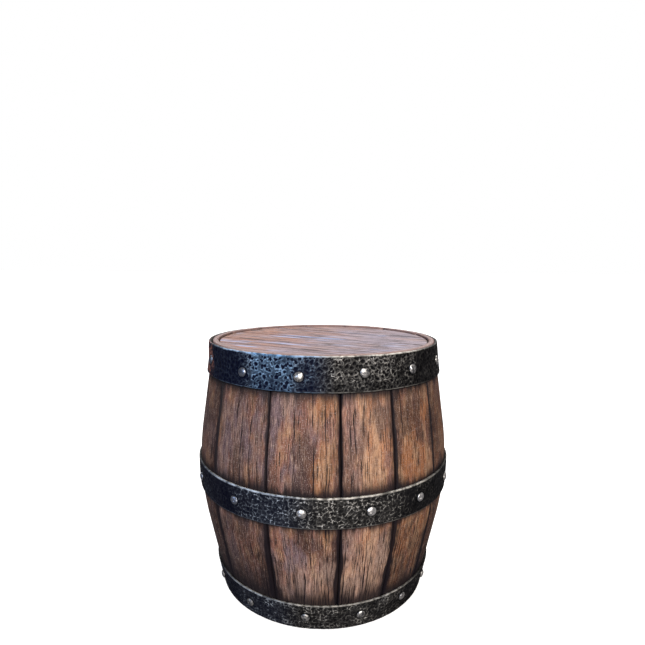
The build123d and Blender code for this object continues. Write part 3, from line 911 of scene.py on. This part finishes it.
def hoop_piece(node, material, seed, spacing, land_share, ring_share, ground, dent_depth, edge_width):
    """Hammered band with ragged edges, rubbed and painted bright, lapped over itself under its rivets."""
    low, high = hoop_span(node)
    height = high - low
    outer_radius = float(stave_radius((low + high) / 2)) + HOOP_THICKNESS
    columns = round(2 * math.pi * outer_radius / HOOP_GRID)
    angle = np.linspace(-math.pi, math.pi, columns, endpoint=False)[None, :]
    rows = round((height - 2 * HOOP_EDGE) / HOOP_GRID) + 1
    ends = HOOP_EDGE * np.array([0, 0.12, 0.4, 0.75])
    body = np.linspace(HOOP_EDGE, height - HOOP_EDGE, rows)
    up = np.concatenate([ends, body, height - ends[::-1]])[:, None]
    ragged_low = HOOP_RAGGED * np.maximum(round_noise(angle, 0, 30, 0, seed), 0)
    ragged_high = HOOP_RAGGED * np.maximum(round_noise(angle, 0, 34, 0, seed + 1), 0)
    z = low + up + (1 - up / height) * ragged_low - up / height * ragged_high

    bowl, crest, net, land = hammer_marks(angle, up, outer_radius, spacing, seed + 2)
    wear_and_painted_light, blue_and_painted_cool_light, polished_and_painted_highlight = wear_and_painted_light_patches(node, angle, up, seed + 6)
    from_edge = np.minimum(up, height - up)
    plain = smooth(from_edge, 0, 2.5 * MM)
    seats = nail_seats(node, angle, z, outer_radius)
    ridge = np.maximum(net * (1 - 0.7 * polished_and_painted_highlight), crest * (ring_share + (1 - ring_share) * polished_and_painted_highlight))
    ridge = wear_and_painted_light * np.maximum(np.maximum(ridge, land_share * land * polished_and_painted_highlight), ground)
    ridge = np.clip(ridge, 0, 1) * plain * (1 - seats)
    edge, painted_light = edge_wear_and_highlight(node, angle, up, height, edge_width * (1 + 0.9 * polished_and_painted_highlight), seed + 12)
    rust = hoop_rust(node, angle, up, seed + 8)

    rounding = rounded(from_edge, HOOP_EDGE, HOOP_EDGE)
    dent = dent_depth * bowl * plain * (1 - seats)
    thickness = HOOP_THICKNESS * (1 + lap_share(node, angle))
    flare = 0.0
    if node == "top_hoop":
        flare = TOP_HOOP_FLARE + TOP_HOOP_LEFT_FLARE * window(angle, *LEFT_FLARE)
    stand_off = flare * smooth(up / height, 0.3, 1.0)
    outer_face = stave_radius(z) + thickness + stand_off - dent - rounding - SEAT_DIP * seats
    outer = around(outer_face, angle, z)
    inner_share = np.linspace(1, 0, 4)[:, None]
    inner_z = low + inner_share * height + (1 - inner_share) * ragged_low - inner_share * ragged_high
    inner_face = stave_radius(inner_z) + HOOP_CLEARANCE + flare * smooth(inner_share, 0.3, 1.0)
    inner = around(inner_face, angle, inner_z)

    points = np.concatenate([outer, inner], axis=0)
    faces = grid_faces(shell_index(points), wrap_columns=True, wrap_rows=True)
    # painted highlight on the top face, toward the staves
    inner_edge = np.array([1.0, 0, 0, 0])[:, None] * painted_light
    values = {"ridge": (ridge, 0), "edge": (edge, inner_edge), "blue_and_painted_cool_light": (blue_and_painted_cool_light, 0), "rust": (rust, 0)}
    attributes = shell_values(values, outer, inner, 0)
    mesh_piece(f"hammered_{node}", node, points, faces, material, attributes)


# ---- head boards

BOARDS = 5
BOARD_ANGLES = {"top": math.radians(-26), "bottom": math.radians(35)}
# depth below the stave ends and radius, in mm: outer disc, tongue in the croze, inner disc
HEAD_STEPS = [(3, 179.5), (8.3, 179.5), (8.31, 185.7), (16, 185.7), (16.01, 169.8), (25, 169.8)]
HEAD_DEPTH, HEAD_RADIUS = HEAD_STEPS[0][0] * MM, HEAD_STEPS[0][1] * MM
HEAD_SEEDS = {"top": 300, "bottom": 350}
SEAM_INSET = 0.2 * MM
SEAM_ROUNDING = 3 * MM
SEAM_DROP = 1.7 * MM
RIM_ROUNDING = 1.5 * MM
RIM_DROP = 1.2 * MM
GRID_ACROSS_HEAD = 1.2 * MM
GRID_ALONG_HEAD = 2.6 * MM


def board_grid(radius, near, far, rows, columns):
    """Grid over the strip of a disc between two chords: (along, across) at each point."""
    limit = 0.9995 * radius
    y = np.linspace(max(near, -limit), min(far, limit), columns)[None, :]
    share = np.linspace(-1, 1, rows)[:, None]
    return share * np.sqrt(radius**2 - y**2), y + 0 * share


def outline_index(index):
    """Boundary of a grid of vertex indices, once round."""
    return np.concatenate([index[:, 0], index[-1, 1:], index[-2::-1, -1], index[0, -2:0:-1]])


def head_face(along, across, near, far, seed):
    """A board's worn face: depth below the sawn face, dark wash, streaks of painted reflection and warmth.
    """
    width, length = far - near, 2 * HEAD_RADIUS
    depth, wash = wood_relief(across - near, along + HEAD_RADIUS, width, length, seed, 0.5, 10, 2)
    edge = np.minimum(across - near, far - across)
    from_rim = HEAD_RADIUS - np.hypot(along, across)
    depth = 0.6 * depth + rounded(edge, SEAM_ROUNDING, SEAM_DROP)
    depth = depth + rounded(from_rim, RIM_ROUNDING, RIM_DROP)
    wash = np.maximum(0.8 * wash, 1 - smooth(edge, 0.5 * MM, 2.4 * MM))
    # a dark line round the head at the rim: partly painted shade in the gap there
    wash = np.maximum(wash, 1 - smooth(from_rim, 0.3 * MM, 2.2 * MM))
    wide = noise(along / 0.07, across / 0.05, seed + 8)
    # painted reflection: bluish streaks along the grain and beside the seams
    painted_sheen = smooth(noise(across / 0.0075, along / 0.065, seed + 7), 0.1, 0.7) * smooth(wide, -0.2, 0.4)
    beside_seam = smooth(edge, 1.5 * MM, 3 * MM) * (1 - smooth(edge, 3.5 * MM, 7 * MM))
    streak = np.clip(0.8 * painted_sheen + 0.7 * beside_seam * smooth(wide, 0.0, 0.6), 0, 1)
    # warmer toward one side, where the painted reflection gives way to brown
    warm = smooth(-along / HEAD_RADIUS + 0.5 * noise(along / 0.05, across / 0.03, seed + 9), -0.5, 0.9)
    return depth, wash, streak, warm


def board_shell(face, near, far):
    """Closed board under its worn face: the steps of its ends and a flat underside."""
    index = shell_index(face)
    ring = outline_index(index)
    layers, loops, total = [face.reshape(-1, 3)], [ring], index.size
    for step, radius in HEAD_STEPS[1:]:
        along, across = board_grid(radius * MM, near, far, *index.shape)
        flat = np.stack([along, across, 0 * along - (step * MM - HEAD_DEPTH)], axis=-1).reshape(-1, 3)
        layers.append(flat[ring])
        loops.append(total + np.arange(len(ring)))
        total += len(ring)
    # the underside repeats the last outline as a grid
    under = flat[np.setdiff1d(index, ring)]
    under_index = np.full(index.size, -1)
    under_index[ring] = loops[-1]
    under_index[under_index < 0] = total + np.arange(len(under))
    faces = grid_faces(index) + grid_faces(under_index.reshape(index.shape))
    faces += grid_faces(np.stack(loops), wrap_columns=True)
    return np.concatenate(layers + [under]), faces


def head_board(end, number, material):
    """One board of a head, in the croze."""
    node = f"{end}_head_board_{number}"
    turn = BOARD_ANGLES[end]
    cad = node_points(node)
    cad_across = -cad[:, 0] * math.sin(turn) + cad[:, 1] * math.cos(turn)
    near, far = cad_across.min() + SEAM_INSET, cad_across.max() - SEAM_INSET
    rows = round(2 * HEAD_RADIUS / GRID_ALONG_HEAD)
    columns = round((far - near) / GRID_ACROSS_HEAD)
    along, across = board_grid(HEAD_RADIUS, near, far, rows, columns)
    seed = HEAD_SEEDS[end] + number
    depth, wash, streak, warm = head_face(along, across, near, far, seed)
    local, faces = board_shell(np.stack([along, across, -depth], axis=-1), near, far)

    x = local[:, 0] * math.cos(turn) - local[:, 1] * math.sin(turn)
    y = local[:, 0] * math.sin(turn) + local[:, 1] * math.cos(turn)
    z = KEG_HEIGHT - HEAD_DEPTH + local[:, 2]
    if end == "bottom":
        z = KEG_HEIGHT - z
    points = np.stack([x, y, z], axis=-1)
    rest = np.zeros(len(local) - along.size)
    attributes = {
        "grain": np.stack([local[:, 1] - near, local[:, 0], 0 * local[:, 0] + seed], axis=-1),
        "wash": np.concatenate([wash.ravel(), rest + 0.9]),
        "streak": np.concatenate([streak.ravel(), rest]),
        "warm": np.concatenate([warm.ravel(), rest + 0.5]),
    }
    mesh_piece(f"worn_{node}", node, points, faces, material, attributes)


# ---- bung, tap hole and their bushes

BUNG_HEIGHT = 325 * MM
TAP_HEIGHT = 100 * MM
BACK = math.pi
SEAT_DEPTH = -5 * MM  # floor of the pocket for a bush's flange
BUSH_SEGMENTS = 96
PLUG_SEGMENTS = 72
# radius and height from the stave's face, in mm
BUNG_OUTLINE = (
    (0, 9.6), (8, 9.9), (15, 10), (18.4, 9.8), (20.4, 9.0), (21.5, 7.6), (21.75, 5.5), (21.35, 1),
    (19.5, -19.2), (19.0, -19.5), (0, -19.5),
)
KEYSTONE_OUTLINE = ((0, -2.2), (9, -2.0), (13.9, -2.0), (14.9, -2.6), (14.2, -16), (0, -16))


def bush_piece(node, z, flange, sleeve, mouth, bore, material):
    """Flanged bush of given radii, with eased edges and a turned groove, in the stave's own hole."""
    top, end = -2.0 * MM, -21.5 * MM
    ease = 0.7 * MM
    groove = (flange + mouth) / 2
    floor = top - 0.4 * MM
    outline = [
        (bore, end), (sleeve - ease, end), (sleeve, end + ease), (sleeve, SEAT_DEPTH),
        (flange, SEAT_DEPTH), (flange, top - ease), (flange - 0.3 * ease, top - 0.3 * ease),
        (flange - ease, top),
        (groove + 2 * MM, top), (groove + 1.5 * MM, floor),
        (groove - 1.5 * MM, floor), (groove - 2 * MM, top),
        (mouth + ease, top), (mouth + 0.3 * ease, top - 0.3 * ease), (mouth, top - ease),
    ]
    points, faces = ring_turned(outline, BUSH_SEGMENTS)
    points = placed(points, z, BACK)
    mesh_piece(f"turned_{node}", node, points, faces, material)


def plug_piece(node, body, z, outline, material):
    """Turned wooden plug, from (radius, height) in mm, with end grain on its faces."""
    points, faces = turned([(r * MM, h * MM) for r, h in outline], PLUG_SEGMENTS)
    wash = np.where(points[:, 2] < -2 * MM, 0.7, 0.15)
    attributes = {"grain": points * [1, 1, 0.12] + [0.012, 0.02, 0], "wash": wash}
    points = placed(points, z, BACK)
    mesh_piece(f"turned_{node}", node, points, faces, material, attributes, body)


def cut_seat(stave, z, flange, sleeve):
    """Open the stave for a bush: a flat-bottomed pocket and a through hole."""
    high, floor, low = 30 * MM, SEAT_DEPTH, -40 * MM
    outline = [(0, high), (flange, high), (flange, floor), (sleeve, floor), (sleeve, low), (0, low)]
    points, faces = turned(outline, BUSH_SEGMENTS)
    cutter = added("seat_cutter", plain_mesh("seat_cutter", placed(points, z, BACK), faces))
    cut = stave.modifiers.new("seat", "BOOLEAN")
    cut.operation = "DIFFERENCE"
    cut.solver = "EXACT"
    cut.object = cutter
    dg = bpy.context.evaluated_depsgraph_get()
    stave.data = bpy.data.meshes.new_from_object(stave.evaluated_get(dg))
    stave.modifiers.remove(cut)
    bpy.data.objects.remove(cutter)


# ---- build

wood = stave_wood()
staves = [stave_piece(number, wood) for number in range(1, len(STAVE_LOOKS) + 1)]
back_stave = staves[9]
cut_seat(back_stave, BUNG_HEIGHT, 34 * MM, 27 * MM)
cut_seat(back_stave, TAP_HEIGHT, 25.5 * MM, 19.5 * MM)

iron = hammered_iron()
for k, hoop in enumerate(HOOPS):
    hoop_piece(hoop, iron, HOOP_SEED + 20 * k, *HOOP_LOOKS[hoop])

steel = nail_metal()
lap, shank = 2 * HOOP_THICKNESS, HOOP_THICKNESS + NAIL_DEPTH
for k, hoop in enumerate(HOOPS):
    node = f"{hoop}_nails"
    nail_set(f"dented_{node}", node, HOOP_THICKNESS, shank, steel, NAIL_SEED + 10 * k)
nail_set("dented_lap_rivets", "hoop_lap_rivets", lap, lap - 0.2 * MM, steel, NAIL_SEED + 40)

boards, dowel = head_wood(), plain_dowel_wood()
for end in ("top", "bottom"):
    for number in range(1, BOARDS + 1):
        head_board(end, number, boards)
    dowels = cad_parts[f"{end}_head_dowels"].data.materials
    dowels.clear()
    dowels.append(dowel)

brass, plug_wood = turned_metal(), end_grain_wood()
bush_piece("bung_bush", BUNG_HEIGHT, 33.5 * MM, 27 * MM, 21 * MM, 19.5 * MM, brass)
bush_piece("tap_bush", TAP_HEIGHT, 25 * MM, 19.5 * MM, 15 * MM, 14 * MM, brass)
plug_piece("bung", "bung", BUNG_HEIGHT, BUNG_OUTLINE, plug_wood)
plug_piece("tap_keystone", "keg", TAP_HEIGHT, KEYSTONE_OUTLINE, plug_wood)


# ---- floor, light and camera


FLOOR_SIZE = 120


def camera_switch(tree, lighting, seen, output):
    """One shader for the light that a surface gives, and another for what the camera sees."""
    path = tree.nodes.new("ShaderNodeLightPath")
    mix = tree.nodes.new("ShaderNodeMixShader")
    tree.links.new(path.outputs["Is Camera Ray"], mix.inputs[0])
    tree.links.new(lighting.outputs[0], mix.inputs[1])
    tree.links.new(seen.outputs[0], mix.inputs[2])
    tree.links.new(mix.outputs[0], output.inputs["Surface"])


def stage_floor():
    """Pale floor that reaches the horizon and throws little light back on the object."""
    g = Graph("pale_floor")
    colour = g.mix(g.noise(g.position(), 3, 2), (0.88, 0.88, 0.88), (0.9, 0.9, 0.9))
    white = (1.0, 1.0, 1.0)
    g.finish(colour, 0.9, Specular_IOR_Level=0.1, Emission_Strength=0.45, Emission_Color=white)
    dim = g.node("BsdfDiffuse", {"Color": (0.08, 0.08, 0.09, 1)})
    camera_switch(g.tree, dim, g.shader, next(n for n in g.tree.nodes if n.type == "OUTPUT_MATERIAL"))
    half = FLOOR_SIZE / 2
    corners = [(-half, -half, 0), (half, -half, 0), (half, half, 0), (-half, half, 0)]
    floor = added("floor", plain_mesh("floor", corners, [(0, 1, 2, 3)]))
    floor.data.materials.append(g.material)


def sun(name, azimuth, elevation, strength, colour, softness):
    """Soft sun from an azimuth (degrees from the front, towards +X) and elevation."""
    light = bpy.data.lights.new(name, "SUN")
    light.energy = strength
    light.color = colour
    light.angle = math.radians(softness)
    lamp = added(name, light)
    a, e = math.radians(azimuth), math.radians(elevation)
    direction = Vector((math.sin(a) * math.cos(e), -math.cos(a) * math.cos(e), math.sin(e)))
    lamp.rotation_euler = direction.to_track_quat("Z", "Y").to_euler()


def studio_world(seen, cast):
    """White background that lights the object only softly."""
    world = bpy.data.worlds.new("studio")
    world.use_nodes = True
    tree = world.node_tree
    tree.nodes.clear()
    lighting = tree.nodes.new("ShaderNodeBackground")
    shown = tree.nodes.new("ShaderNodeBackground")
    lighting.inputs["Color"].default_value = (*cast, 1)
    shown.inputs["Color"].default_value = (*seen, 1)
    camera_switch(tree, lighting, shown, tree.nodes.new("ShaderNodeOutputWorld"))
    bpy.context.scene.world = world


def photo_camera():
    """Camera at the photograph's viewing angle: in front of the keg, looking down onto its head."""
    distance = 1.8842 * KEG_HEIGHT
    height = 1.2553 * KEG_HEIGHT
    data = bpy.data.cameras.new("photo_camera")
    data.sensor_width = 36
    data.lens = 26.92
    data.shift_x = -0.0012
    data.shift_y = 0.128
    camera = added("photo_camera", data)
    camera.location = (0, -distance, height)
    look_down, roll = 0.2757, 0.006
    turn = Matrix.Rotation(math.pi / 2 - look_down, 4, "X") @ Matrix.Rotation(roll, 4, "Z")
    camera.rotation_euler = turn.to_euler()
    bpy.context.scene.camera = camera


stage_floor()
sun("warm_key", 10, 38, 3.1, (1.0, 0.94, 0.87), 22)
sun("low_fill", 4, 6, 0.85, (1.0, 0.93, 0.88), 30)
sun("cool_side", -42, 24, 0.6, (0.42, 0.62, 1.0), 24)
sun("back_left", -158, 40, 1.5, (0.95, 0.97, 1.0), 30)
sun("back_right", 162, 40, 1.5, (1.0, 0.97, 0.94), 30)
studio_world((1.0, 1.0, 1.0), (0.12, 0.12, 0.13))
photo_camera()
bpy.context.scene.view_settings.view_transform = "Standard"
